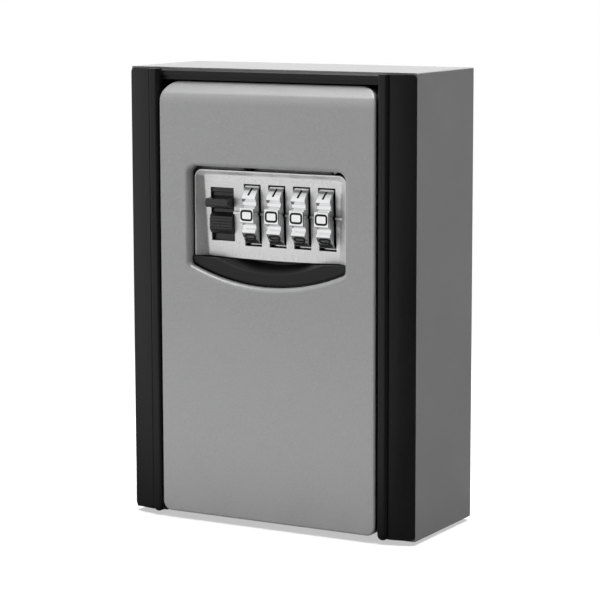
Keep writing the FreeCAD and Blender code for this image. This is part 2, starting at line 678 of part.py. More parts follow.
def make_door():
    body = new_body("door")
    side = new_sketch(body, "YZ")
    draw(
        side,
        [
            ("-door_back_d", "door_low"),
            ("-door_d", "door_low"),
            ("-door_d", "bevel_start"),
            ("-door_d + bevel_roll", "bevel_crease"),
            ("-door_d + bevel_slope", "door_top"),
            ("-door_back_d", "door_top"),
        ],
        {2: ("bevel_arc", -1)},
    )
    pad(body, side, "door_w", both_ways=True)
    half = "door_w / 2"
    corners = new_sketch(body, "XZ", "door_d + 1")
    draw_box(corners, f"-{half} - 5", "door_low - 5", f"{half} + 5", "door_top + 5")
    rounded = ("door_round_low", "door_round_top")
    draw_rounded(corners, f"-{half}", "door_low", half, "door_top", *rounded)
    pocket(body, corners, "door_d - door_back_d + 2")
    round_edges(body, "door_edge", front_rim)
    window = new_sketch(body, "XZ", "door_d + 1")
    inside = "win_half - win_round"
    draw(
        window,
        [
            ("-win_half", window_end()),
            ("win_half", window_end()),
            ("win_half", "win_top - win_round"),
            (inside, "win_top"),
            (f"-({inside})", "win_top"),
            ("-win_half", "win_top - win_round"),
        ],
        {0: ("win_arc", 1), 2: ("win_round", 1), 4: ("win_round", 1)},
    )
    pocket(body, window, "door_d - door_back_d + 2")
    front = -number("door_d")
    reach = number("win_half") + 0.1

    def lip(edge):
        return lies_at(edge, "Y", front) and abs(edge.CenterOfMass.x) < reach and (
            0 < edge.CenterOfMass.z < 35
        )

    arc_end = number(window_end())
    round_edges(
        body, "win_round_low",
        lambda e: runs_along(e, (0, 1, 0)) and abs(e.CenterOfMass.z - arc_end) < 0.1,
    )
    round_edges(body, "lip_round", lip)
    inner = f"{half} - door_wall"
    hollow = new_sketch(body, "XZ", "door_back_d")
    draw_rounded(
        hollow, f"-({inner})", "door_low + door_wall", inner, "door_top - door_wall",
        "door_round_low - door_wall", "door_round_top - door_wall",
    )
    pocket(body, hollow, "door_d - door_skin - door_back_d", backwards=True)
    bosses = new_sketch(body, "XZ", "door_back_d")
    for _, across in SIDES:
        for height in ("boss_low", "boss_top"):
            draw_circle(bosses, signed(across, "boss_x"), height, "boss_rad")
    pad(body, bosses, "door_d - door_skin - door_back_d + 0.2")
    drill(
        body, "XZ", "door_back_d",
        [(signed(across, "boss_x"), z) for _, across in SIDES for z in ("boss_low", "boss_top")],
        "screw_rad", "door_hole_deep", backwards=True,
    )
    for _, across in SIDES:
        start = f"{half} - knuckle_w" if across > 0 else f"-{half}"
        knuckle = new_sketch(body, "YZ", start)
        draw_circle(knuckle, "-hinge_d", "hinge_z", "knuckle_rad")
        pad(body, knuckle, "knuckle_w")
    bore = new_sketch(body, "YZ")
    draw_circle(bore, "-hinge_d", "hinge_z", "pin_rad + run_gap")
    pocket(body, bore, "door_w + 2", both_ways=True)


def front_rim(edge):
    """The edges around the door's front face and top bevel, but not the creases across them."""
    across = edge.Length > number("door_w") - 12 and runs_along(edge, (1, 0, 0))
    between = number("door_low") + 1 < edge.CenterOfMass.z < number("door_top") - 1
    touches_back = edge.BoundBox.YMax > -number("door_back_d") - 1e-3
    return not touches_back and not (across and between)


def panel_outline(sketch):
    half = "win_half - panel_gap"
    inside = f"{half} - win_round"
    top = "win_top - panel_gap_top"
    end = "panel_low + win_half ^ 2 / (2 * panel_low_arc)"
    draw(
        sketch,
        [
            (f"-({half})", end),
            (half, end),
            (half, f"{top} - win_round"),
            (inside, top),
            (f"-({inside})", top),
            (f"-({half})", f"{top} - win_round"),
        ],
        {0: ("panel_low_arc", 1), 2: ("win_round", 1), 4: ("win_round", 1)},
    )


def draw_joint(sketch):
    """The open joint up the left side of the panel, over its top and down its right side."""
    foot = "panel_low - 1"
    outer, outer_top = "(win_half + fit_gap)", "(win_top + fit_gap)"
    inner, inner_top = "(win_half - panel_gap)", "(win_top - panel_gap_top)"
    draw(
        sketch,
        [
            (f"-{outer}", foot),
            (f"-{outer}", f"{outer_top} - win_round"),
            (f"-{outer} + win_round", outer_top),
            (f"{outer} - win_round", outer_top),
            (outer, f"{outer_top} - win_round"),
            (outer, foot),
            (inner, foot),
            (inner, f"{inner_top} - win_round"),
            (f"{inner} - win_round", inner_top),
            (f"-{inner} + win_round", inner_top),
            (f"-{inner}", f"{inner_top} - win_round"),
            (f"-{inner}", foot),
        ],
        {
            1: ("win_round", -1), 3: ("win_round", -1),
            7: ("win_round", 1), 9: ("win_round", 1),
        },
    )


def draw_recess(sketch, half_low, half_top, top, radius):
    """An outline with rounded upper corners that runs out below the panel's lower edge."""
    foot = "panel_low - 4"
    draw(
        sketch,
        [
            (f"-{half_low}", foot),
            (half_low, foot),
            (half_top, f"{top} - {radius}"),
            (f"{half_top} - {radius}", top),
            (f"-{half_top} + {radius}", top),
            (f"-{half_top}", f"{top} - {radius}"),
        ],
        {2: (radius, 1), 4: (radius, 1)},
    )


def make_lock_panel():
    body = new_body("lock_panel")
    face = new_sketch(body, "XZ", "panel_back_d")
    panel_outline(face)
    pad(body, face, "panel_rim_d - panel_back_d")
    flange = ("-flange_half", "panel_low + 0.9", "flange_half", "flange_top")
    pad_box(body, "XZ", "panel_back_d", flange, "flange_d - panel_back_d")
    joint = new_sketch(body, "XZ", "panel_rim_d")
    draw_joint(joint)
    pocket(body, joint, "panel_rim_d - joint_d")
    rim = new_sketch(body, "XZ", "panel_rim_d + 0.001")
    half, top = "(win_half - panel_gap - rim_w)", "(win_top - panel_gap_top - rim_w)"
    draw_recess(rim, half, half, top, "rim_round")
    floor = new_sketch(body, "XZ", "panel_floor_d")
    tilt = FreeCAD.Rotation(FreeCAD.Vector(1, 0, 0), number("panel_tilt"))
    floor.AttachmentOffset = FreeCAD.Placement(floor.AttachmentOffset.Base, tilt)
    bind(floor, AttachmentOffset__Rotation__Angle="panel_tilt * 1 deg")
    floor_half, floor_top = f"({half} - bevel_w)", f"({top} - bevel_top)"
    foot_half = f"({floor_half} - bevel_flare)"
    draw_recess(floor, foot_half, floor_half, floor_top, "floor_corner")
    recess = body.newObject("PartDesign::SubtractiveLoft", "lock_panel_recess")
    recess.Profile = rim
    recess.Sections = [floor]
    recess.Ruled = True
    doc.recompute()
    lean = math.tan(math.radians(number("panel_tilt")))

    def around_floor(edge):
        on_floor = all(
            abs(point.Y + number("panel_floor_d") + lean * point.Z) < 0.01
            for point in edge.Vertexes
        )
        return on_floor and edge.CenterOfMass.z > number("panel_low + 2")

    round_edges(body, "floor_round", around_floor)
    ribs = new_sketch(body, "XZ", "panel_back_d + 0.3")
    low, high = "dial_z + 0.2 - index_tall / 2", "dial_z + 0.2 + index_tall / 2"
    first = "button_x + button_slot_w / 2"
    starts = [first] + [f"dial_first + {i} * dial_pitch + slot_w / 2" for i in range(DIALS)]
    ends = [f"dial_first + {i} * dial_pitch - slot_w / 2" for i in range(DIALS)]
    for start, end in zip(starts, ends + [f"{half} - bevel_w + 0.5"]):
        draw_box(ribs, start, low, end, high)
    pad(body, ribs, "index_d - panel_back_d - 0.3")
    for dial in range(DIALS):
        relief = new_sketch(body, "YZ", f"dial_first + {dial} * dial_pitch")
        draw_circle(relief, "-dial_d", "dial_z", "slot_rad")
        pocket(body, relief, "slot_w", both_ways=True)
    slot = (
        "button_x - button_slot_w / 2", "button_slot_low",
        "button_x + button_slot_w / 2", "button_slot_top",
    )
    cut_box(body, "XZ", "panel_rim_d", slot, "panel_rim_d - panel_back_d + 0.5")
    drill(
        body, "XZ", "panel_back_d", [(x, "foot_hole_z") for x in FOOT_SCREWS],
        "screw_rad", "panel_hole_deep", backwards=True,
    )


def make_finger_pull():
    body = new_body("finger_pull")
    crescent = new_sketch(body, "XZ", "flange_d - 0.2")
    half = "win_half - fit_gap"
    low_end = f"{window_end()} + fit_gap + 0.6"
    high_end = "panel_low - fit_gap + win_half ^ 2 / (2 * panel_low_arc)"
    draw(
        crescent,
        [
            (f"-({half})", high_end),
            (f"-({half})", low_end),
            (half, low_end),
            (half, high_end),
        ],
        {1: ("win_arc", 1), 3: ("panel_low_arc", -1)},
    )
    pad(body, crescent, "pull_d - flange_d + 0.2")
    flange = ("-flange_half", "cover_low - 0.5", "flange_half", "panel_low - fit_gap")
    pad_box(body, "XZ", "pull_flange_d", flange, "flange_d - pull_flange_d")
    housing = ("-scoop_half - scoop_wall", "cover_low + cover_skin + 0.3",
               "scoop_half + scoop_wall", "pull_top")
    pad_box(body, "XZ", "pull_back_d", housing, "pull_flange_d - pull_back_d")
    mouth = new_sketch(body, "XZ", "pull_d + 0.001")
    draw(
        mouth,
        [("-scoop_half", "scoop_top"), ("scoop_half", "scoop_top")],
        {1: ("scoop_arc", -1)},
    )
    bottom = new_sketch(body, "XZ", "pull_d - scoop_deep")
    draw(
        bottom,
        [("-scoop_floor_half", "scoop_top"), ("scoop_floor_half", "scoop_top")],
        {1: ("scoop_floor_arc", -1)},
    )
    scoop = body.newObject("PartDesign::SubtractiveLoft", "finger_pull_scoop")
    scoop.Profile = mouth
    scoop.Sections = [bottom]
    scoop.Ruled = True
    doc.recompute()


# ---------------------------------------------------------------- dials and code sleeves


def polar(radius, degrees):
    """A point at an angle around the dial axis, as two formulas."""
    return f"{radius} * cos({degrees} deg)", f"{radius} * sin({degrees} deg)"


def make_dial(dial):
    body = new_body(f"dial_{dial + 1}")
    blank = new_sketch(body, "YZ")
    step = 360 / DIGITS
    points = [
        polar(f"dial_rad / cos({step / 2} deg)", step * (digit + 0.5)) for digit in range(DIGITS)
    ]
    draw(blank, points)
    pad(body, blank, "dial_w", both_ways=True)
    faces = number("dial_w / 2")
    round_edges(
        body, "dial_edge", lambda e: lies_at(e, "X", faces) or lies_at(e, "X", -faces), "Chamfer"
    )
    notch = new_sketch(body, "YZ")
    draw(
        notch,
        [
            ("groove_flat", "groove_rad"),
            ("groove_half", "groove_top"),
            ("-groove_half", "groove_top"),
            ("-groove_flat", "groove_rad"),
        ],
    )
    groove = pocket(body, notch, "dial_w + 1", both_ways=True)
    around_x(body, [groove])
    bore = new_sketch(body, "YZ")
    draw_circle(bore, "0", "0", "dial_bore")
    pocket(body, bore, "dial_w + 1", both_ways=True)
    keyway = new_sketch(body, "YZ")
    reach = "key_reach + key_gap"
    draw_box(keyway, f"-({reach})", "-key_w / 2 - key_gap", reach, "key_w / 2 + key_gap")
    pocket(body, keyway, "dial_w + 1", both_ways=True)
    place(body, f"dial_first + {dial} * dial_pitch", "-dial_d", "dial_z")


def make_sleeve(dial):
    body = new_body(f"code_sleeve_{dial + 1}")
    tube = new_sketch(body, "YZ", "sleeve_start")
    draw_circle(tube, "0", "0", "sleeve_rad")
    pad(body, tube, "sleeve_len")
    keys = new_sketch(body, "YZ", "-dial_w / 2")
    draw_box(keys, "-key_reach", "-key_w / 2", "key_reach", "key_w / 2")
    pad(body, keys, "dial_w")
    cam = new_sketch(body, "YZ", "sleeve_start + sleeve_len - cam_w")
    draw_circle(cam, "0", "0", "cam_rad")
    pad(body, cam, "cam_w")
    gate = new_sketch(body, "YZ", "sleeve_start + sleeve_len - cam_w")
    draw_box(gate, "-gate_w / 2", "cam_rad - gate_deep", "gate_w / 2", "cam_rad + 1")
    pocket(body, gate, "cam_w", backwards=True)
    bore = new_sketch(body, "YZ")
    draw_circle(bore, "0", "0", "shaft_rad + run_gap")
    pocket(body, bore, "3 * sleeve_len", both_ways=True)
    place(body, f"dial_first + {dial} * dial_pitch", "-dial_d", "dial_z")


def make_shaft():
    shaft = cylinder(
        "dial_shaft_rod", "shaft_rad", "shaft_right - shaft_left",
        "shaft_left", "-dial_d", "dial_z", (1, 0, 0),
    )
    grooves = [
        cut(
            f"clip_{name}",
            cylinder(f"clip_{name}_disc", "clip_rad", "clip_w", x, "-dial_d", "dial_z", (1, 0, 0)),
            cylinder(f"clip_{name}_hole", "shaft_rad", "clip_w", x, "-dial_d", "dial_z", (1, 0, 0)),
        )
        for name, x in (("left", "cheek_left - clip_w"), ("right", "cheek_right"))
    ]
    node(shaft, "dial_shaft")
    group("shaft_clips", grooves)


def make_chassis():
    body = new_body("chassis")
    for start in ("cheek_left", "cheek_right - cheek"):
        cheek = new_sketch(body, "YZ", start)
        draw(
            cheek,
            [
                ("-web_near", "cheek_low"),
                ("-web_near", "cheek_top"),
                ("-foot_near", "cheek_top"),
                ("-foot_near", "foot_top"),
                ("-panel_back_d", "foot_top"),
                ("-panel_back_d", "cheek_low"),
            ],
        )
        pad(body, cheek, "cheek")
    web = ("cheek_left", "cheek_low", "cheek_right", "cheek_top")
    pad_box(body, "XZ", "web_near", web, "web_thick")
    foot = ("cheek_left", "dial_z + slot_rad - 0.3", "cheek_right", "foot_top")
    pad_box(body, "XZ", "foot_near", foot, "panel_back_d - foot_near")
    bore = new_sketch(body, "YZ")
    draw_circle(bore, "-dial_d", "dial_z", "shaft_rad")
    pocket(body, bore, "80", both_ways=True)
    drill(
        body, "XZ", "foot_near", [(x, "foot_hole_z") for x in FOOT_SCREWS],
        "screw_rad", "panel_back_d - foot_near", backwards=True,
    )


def make_detent_spring():
    body = new_body("detent_spring")
    start = "web_near + web_thick"
    span = ("dial_first - leaf_w / 2", "cheek_low + 0.4",
            f"dial_first + {DIALS - 1} * dial_pitch + leaf_w / 2", "cheek_low + 3.4")
    pad_box(body, "XZ", start, span, "leaf")
    lift = f"dial_z + groove_rad * sin({180 / DIGITS} deg)"
    fingers = new_sketch(body, "XZ", start)
    for dial in range(DIALS):
        middle = f"dial_first + {dial} * dial_pitch"
        draw_box(
            fingers, f"{middle} - leaf_w / 2", "cheek_low + 3", f"{middle} + leaf_w / 2",
            f"{lift} + 1.4",
        )
    pad(body, fingers, "leaf")
    for dial in range(DIALS):
        tip = new_sketch(body, "YZ", f"dial_first + {dial} * dial_pitch")
        draw(
            tip,
            [
                (f"-({start}) - leaf / 2", f"{lift} - 0.9"),
                ("-leaf_tip_d", f"{lift} - 0.15"),
                ("-leaf_tip_d", f"{lift} + 0.15"),
                (f"-({start}) - leaf / 2", f"{lift} + 0.9"),
            ],
        )
        pad(body, tip, "leaf_w", both_ways=True)


# ---------------------------------------------------------------- release slide and latch


def make_release_button():
    body = new_body("release_button")
    base = ("plate_left + 0.4", "plate_low", "cheek_left - 0.4", "button_slot_top + travel + 0.4")
    pad_box(body, "XZ", "plate_d", base, "panel_back_d - 0.1 - plate_d")
    grip = new_sketch(body, "YZ", "button_x")
    low = "(button_slot_low + travel + 0.1)"
    points = [("-plate_d - 0.5", low), ("-31.7", low)]
    points += [("-hump_d + 0.75", f"{low} + 0.35"), ("-hump_d + 0.3", f"{low} + 1")]
    for rib in range(HUMP_RIBS):
        height = f"{low} + 1.4 + {rib} * rib_pitch"
        points += [
            ("-hump_d", height),
            ("-hump_d", f"{height} + rib_pitch * 0.5"),
            ("-hump_d + rib_deep", f"{height} + rib_pitch * 0.65"),
            ("-hump_d + rib_deep", f"{height} + rib_pitch * 0.9"),
        ]
    last = f"{low} + 1.4 + {HUMP_RIBS} * rib_pitch"
    points += [
        ("-hump_d + 0.25", f"{last} + 0.3"),
        ("-hump_d + 0.9", f"{last} + 0.9"),
        ("-dip_d", f"{last} + 1.3"),
        ("-dip_d", "ledge_low - 0.7"),
        ("-dip_d - 0.5", "ledge_low - 0.1"),
        ("-ledge_d + nose_deep", "ledge_low"),
        ("-ledge_d + nose_deep", "ledge_top"),
        ("-dip_d - 0.6", "ledge_top + 0.2"),
        ("-dip_d", "ledge_top + 0.5"),
        ("-dip_d", "button_slot_top - 1.4"),
        ("-dip_d - 0.5", "button_slot_top - 1.2"),
        ("-dip_d - 0.5", "button_slot_top - 0.2"),
        ("-plate_d - 0.5", "button_slot_top - 0.2"),
    ]
    nose = points.index(("-ledge_d + nose_deep", "ledge_low"))
    draw(grip, points, {nose: ("nose_arc", -1)})
    pad(body, grip, "button_slot_w - 0.3", both_ways=True)


def make_slide_plate():
    body = new_body("slide_plate")
    near = "plate_d - plate_thick"
    outline = new_sketch(body, "XZ", near)
    draw(
        outline,
        [
            ("plate_left", "plate_low"),
            ("plate_right", "plate_low"),
            ("plate_right", "arm_low"),
            ("arm_right", "arm_low"),
            ("arm_right", "arm_top"),
            ("plate_left", "arm_top"),
            ("plate_left", "tab_low + plate_thick"),
            ("spring_x - coil_rad - 0.5", "tab_low + plate_thick"),
            ("spring_x - coil_rad - 0.5", "tab_low"),
            ("plate_left", "tab_low"),
        ],
    )
    pad(body, outline, "plate_thick")
    tab = ("spring_x - coil_rad - 0.5", "tab_low", "plate_left", "tab_low + plate_thick")
    pad_box(body, "XZ", "spring_d - coil_rad - 0.5", tab, f"{near} + 0.3 - spring_d + coil_rad + 0.5")
    window = ("hook_left - 0.3", "hook_low - travel - 0.4", "hook_right + 0.3", "hook_top + 0.1")
    cut_box(body, "XZ", "plate_d", window, "plate_thick")
    drill(body, "XZ", "plate_d", FENCE_RIVETS, "rivet_rad", "plate_thick")


FENCE_RIVETS = [("plate_left + 2.4", "fence_low + 1.25"), ("plate_right - 2.2", "fence_low + 1.25")]


def make_fence():
    body = new_body("fence")
    bar = ("plate_left + 0.4", "fence_low", "fence_right", "fence_low + fence_tall")
    pad_box(body, "XZ", "fence_near", bar, "fence_thick")
    tab = ("plate_left + 0.4", "fence_low", "plate_right - 0.2", "fence_low + fence_tall")
    pad_box(
        body, "XZ", "fence_near + fence_thick - 0.1", tab,
        "plate_d - plate_thick - fence_near - fence_thick + 0.1",
    )
    fingers = new_sketch(body, "XZ", "fence_near")
    tip = "dial_z + cam_rad + finger_gap + travel"
    for dial in range(DIALS):
        middle = f"(dial_first + {dial} * dial_pitch + sleeve_start + sleeve_len - cam_w / 2)"
        draw_box(
            fingers, f"{middle} - finger_w / 2", tip, f"{middle} + finger_w / 2",
            "fence_low + 0.5",
        )
    pad(body, fingers, "fence_thick")
    drill(body, "XZ", "plate_d - plate_thick", FENCE_RIVETS, "rivet_rad", "1.2")


def make_rivets():
    rivets = []
    for index, (x, z) in enumerate(FENCE_RIVETS):
        near = "plate_d - plate_thick - 1.2"
        shank = cylinder(f"fence_rivet_{index}_shank", "rivet_rad", f"plate_d - ({near})",
                         x, "-plate_d", z, (0, 1, 0))
        head = cylinder(f"fence_rivet_{index}_head", "rivet_rad + 0.7", "0.6",
                        x, "-plate_d - 0.6", z, (0, 1, 0))
        rivets.append(fuse(f"fence_rivet_{index}", [shank, head]))
    group("fence_rivets", rivets)


def make_latch_bolt():
    body = new_body("latch_bolt")
    outline = new_sketch(body, "YZ")
    far = "(latch_near + latch_thick)"
    draw(
        outline,
        [
            ("-latch_near", "latch_low"),
            ("-latch_near", "latch_tip"),
            (f"-{far} + 1.1", "latch_tip"),
            (f"-{far}", "latch_tip - 1.6"),
            (f"-{far}", "latch_low"),
        ],
    )
    pad(body, outline, "2 * latch_half", both_ways=True)
    well = ("-latch_well", "peg_top - travel - 1.6", "latch_well", "cover_top - cover_skin - travel")
    cut_box(body, "XZ", far, well, "latch_thick")
    lug = ("hook_left", "hook_low", "hook_right", "hook_top")
    pad_box(body, "XZ", f"{far} - 0.1", lug, f"plate_d + 0.5 - {far} + 0.1")


# ---------------------------------------------------------------- cover, lever and fasteners


def make_back_cover():
    body = new_body("back_cover")
    pad_box(
        body, "XZ", "cover_d", ("-cover_half", "cover_low", "cover_half", "cover_top"),
        "cover_front_d - cover_d",
    )
    rear = -number("cover_d")
    round_edges(body, "cover_round", lambda e: lies_at(e, "Y", rear) or runs_along(e, (0, 1, 0)))
    inner = (
        "-cover_half + cover_skin", "cover_low + cover_skin",
        "cover_half - cover_skin", "cover_top - cover_skin",
    )
    cut_box(body, "XZ", "cover_front_d", inner, "cover_front_d - cover_d - cover_skin")
    wells = [(signed(across, "boss_x"), z) for _, across in SIDES for z in ("boss_low", "boss_top")]
    columns = new_sketch(body, "XZ", "cover_d + cover_skin - 0.3")
    for x, z in wells:
        draw_circle(columns, x, z, "head_rad + 1.2")
    pad(body, columns, "cover_front_d - cover_d - cover_skin + 0.3")
    trim_columns(body)
    drill(body, "XZ", "well_d", wells, "head_rad + 0.3", "well_d - cover_d + 1")
    drill(body, "XZ", "cover_front_d", wells, "screw_rad", "cover_front_d - well_d + 1")
    shelf = (
        "-cover_half + cover_skin - 0.3", "shelf_top - 1.4", "spring_x + coil_rad + 0.5",
        "shelf_top",
    )
    tall = "spring_d + 2.2 - cover_d - cover_skin + 0.3"
    pad_box(body, "XZ", "cover_d + cover_skin - 0.3", shelf, tall)
    peg = ("-latch_well + 0.2", "peg_top - 1.4", "latch_well - 0.2", "peg_top")
    pad_box(
        body, "XZ", "cover_d + cover_skin - 0.3", peg,
        "latch_near + latch_thick - cover_d - cover_skin + 0.3",
    )
    throat = new_sketch(body, "XY", "cover_top - cover_skin - 0.5")
    draw_box(
        throat, "-latch_half - 0.2", "-latch_near - latch_thick - 0.3", "latch_half + 0.2",
        "-latch_near + 0.3",
    )
    pocket(body, throat, "cover_skin + 1", backwards=True)
    knob = (
        "knob_x - knob_w / 2 - 0.2", "dial_z - 1.7", "knob_x + knob_w / 2 + reset_travel + 0.2",
        "dial_z + 1.7",
    )
    cut_box(body, "XZ", "cover_d + cover_skin", knob, "cover_skin + 1")


def trim_columns(body):
    """Cuts the screw columns flush with the cover's outer faces."""
    margin = 8
    outside = new_sketch(body, "XZ", "cover_front_d")
    draw_box(
        outside, f"-cover_half - {margin}", f"cover_low - {margin}", f"cover_half + {margin}",
        f"cover_top + {margin}",
    )
    draw_rounded(
        outside, "-cover_half", "cover_low", "cover_half", "cover_top", "cover_round", "cover_round"
    )
    pocket(body, outside, "cover_front_d - cover_d")


def make_reset_lever():
    body = new_body("reset_lever")
    near = "cover_d + cover_skin + 0.1"
    plate = ("knob_x - 6", "reset_low", "cheek_right + 2", "reset_top")
    pad_box(body, "XZ", near, plate, "web_near - 0.1 - cover_d - cover_skin - 0.1")
    knob = ("knob_x - knob_w / 2", "dial_z - 1.5", "knob_x + knob_w / 2", "dial_z + 1.5")
    pad_box(body, "XZ", "knob_d", knob, f"{near} + 0.2 - knob_d")
    fork = ("cheek_right + 0.7", "reset_low", "cheek_right + 2", "reset_top")
    pad_box(body, "XZ", near, fork, f"dial_d + 2.5 - ({near})")
    gap = new_sketch(body, "YZ", "cheek_right")
    draw(
        gap,
        [
            ("-dial_d", "dial_z + shaft_rad + 0.25"),
            ("-dial_d", "dial_z - shaft_rad - 0.25"),
            ("-dial_d - 4", "dial_z - shaft_rad - 0.25"),
            ("-dial_d - 4", "dial_z + shaft_rad + 0.25"),
        ],
        {0: ("(shaft_rad + 0.25) * 1.00001", -1)},
    )
    pocket(body, gap, "3", backwards=True)


def make_screws():
    covers = [
        screw(f"cover_screw_{side}_{end}", signed(across, "boss_x"), "-well_d", z, "8.6")
        for side, across in SIDES
        for end, z in (("low", "boss_low"), ("top", "boss_top"))
    ]
    group("cover_screws", covers)
    feet = [
        screw(f"chassis_screw_{index}", x, "-foot_near", "foot_hole_z", "3.9")
        for index, x in enumerate(FOOT_SCREWS)
    ]
    group("chassis_screws", feet)


def make_springs():
    coil(
        "return_spring", "coil_rad", "wire_rad", "tab_low - shelf_top - 2 * wire_rad", 7,
        "spring_x", "-spring_d", "shelf_top + wire_rad",
    )
    middle = "-latch_near - latch_thick / 2"
    coil(
        "latch_spring", "latch_well - 0.6", "wire_rad",
        "cover_top - cover_skin - travel - peg_top - 2 * wire_rad", 4,
        "0", middle, "peg_top + wire_rad",
    )


def check_and_export():
    doc.recompute()
    for obj in doc.Objects:
        if "Invalid" in obj.State or "Error" in obj.State:
            raise RuntimeError(f"{obj.Label}: {obj.State}")
    os.makedirs("parts", exist_ok=True)
    for obj in nodes:
        if obj.Shape.isNull() or not obj.Shape.isValid():
            raise RuntimeError(f"{obj.Label}: the shape is not valid")
        obj.Shape.exportStep(f"parts/{obj.Label}.step")


make_casing()
make_front_frame()
make_hinge_pins()
make_door()
make_lock_panel()
make_finger_pull()
for dial_number in range(DIALS):
    make_dial(dial_number)
    make_sleeve(dial_number)
make_shaft()
make_chassis()
make_detent_spring()
make_release_button()
make_slide_plate()
make_fence()
make_rivets()
make_latch_bolt()
make_back_cover()
make_reset_lever()
make_screws()
make_springs()
check_and_export()
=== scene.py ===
"""Key lock box: materials, dial numbers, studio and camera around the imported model."""
import json
import math

import bpy
from mathutils import Matrix, Vector


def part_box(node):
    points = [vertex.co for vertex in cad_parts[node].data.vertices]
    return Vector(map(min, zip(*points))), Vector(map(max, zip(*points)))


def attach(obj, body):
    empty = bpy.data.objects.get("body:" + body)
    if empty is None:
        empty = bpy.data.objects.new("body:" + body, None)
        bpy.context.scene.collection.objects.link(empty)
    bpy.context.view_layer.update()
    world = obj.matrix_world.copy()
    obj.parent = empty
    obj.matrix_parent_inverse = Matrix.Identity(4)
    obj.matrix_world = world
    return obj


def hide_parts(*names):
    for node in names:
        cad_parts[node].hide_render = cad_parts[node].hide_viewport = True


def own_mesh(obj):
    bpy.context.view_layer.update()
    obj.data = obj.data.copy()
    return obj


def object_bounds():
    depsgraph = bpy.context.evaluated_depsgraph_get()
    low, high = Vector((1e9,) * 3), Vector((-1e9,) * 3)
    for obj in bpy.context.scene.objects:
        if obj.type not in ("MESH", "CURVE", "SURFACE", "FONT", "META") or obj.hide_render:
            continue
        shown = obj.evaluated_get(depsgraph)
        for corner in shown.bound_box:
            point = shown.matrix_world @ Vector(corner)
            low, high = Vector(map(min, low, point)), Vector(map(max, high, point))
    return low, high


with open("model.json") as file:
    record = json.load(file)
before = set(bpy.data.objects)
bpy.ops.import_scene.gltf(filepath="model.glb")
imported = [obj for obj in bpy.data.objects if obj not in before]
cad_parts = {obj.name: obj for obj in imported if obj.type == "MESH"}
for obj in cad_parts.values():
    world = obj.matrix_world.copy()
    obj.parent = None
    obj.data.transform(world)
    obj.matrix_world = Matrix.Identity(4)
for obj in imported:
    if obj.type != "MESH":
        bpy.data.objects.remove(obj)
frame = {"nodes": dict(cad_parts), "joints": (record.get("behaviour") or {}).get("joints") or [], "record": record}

cad_low, cad_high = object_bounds()
MM = 0.001
NODES = frame["nodes"]
DIALS = 4
DIGITS = 10
UP = Vector((0, 0, 1))
FULL_TURN = 2 * math.pi
CREVICE = 2.4 * MM
# The cosine between the true and the rounded normal where an edge mask starts and is full.
FLAT_DOT, EDGE_DOT = 0.985, 0.9


# ---------------------------------------------------------------- material helpers


class Graph:
    """A node tree with short calls for adding and joining nodes."""

    def __init__(self, tree):
        self.tree = tree
        tree.nodes.clear()

    def add(self, kind, **settings):
        made = self.tree.nodes.new(kind)
        for key, value in settings.items():
            setattr(made, key, value)
        return made

    def link(self, source, target):
        self.tree.links.new(source, target)

    def set(self, target, value):
        """Puts a number, a colour or another node's output on an input."""
        if hasattr(value, "is_output"):
            self.link(value, target)
        elif hasattr(value, "__len__") and len(value) == 3 and len(target.default_value) == 4:
            target.default_value = (*value, 1.0)
        else:
            target.default_value = value

    def remap(self, value, low, high, to_low=0.0, to_high=1.0):
        """Maps low to high onto to_low to to_high, and holds the ends."""
        made = self.add("ShaderNodeMapRange")
        limits = {"From Min": low, "From Max": high, "To Min": to_low, "To Max": to_high}
        for key, number in limits.items():
            made.inputs[key].default_value = number
        self.link(value, made.inputs["Value"])
        return made.outputs[0]

    def vary(self, noise, low, high):
        """A value that wanders from low to high with a noise."""
        return self.remap(noise, 0.3, 0.7, low, high)

    def maths(self, operation, first, second):
        made = self.add("ShaderNodeMath", operation=operation)
        self.set(made.inputs[0], first)
        self.set(made.inputs[1], second)
        return made.outputs[0]

    def mix(self, factor, first, second):
        made = self.add("ShaderNodeMix", data_type="RGBA")
        self.set(made.inputs["Factor"], factor)
        self.set(made.inputs[6], first)
        self.set(made.inputs[7], second)
        return made.outputs[2]

    def mix_shaders(self, factor, first, second):
        made = self.add("ShaderNodeMixShader")
        self.set(made.inputs["Fac"], factor)
        self.link(first.outputs[0], made.inputs[1])
        self.link(second.outputs[0], made.inputs[2])
        return made


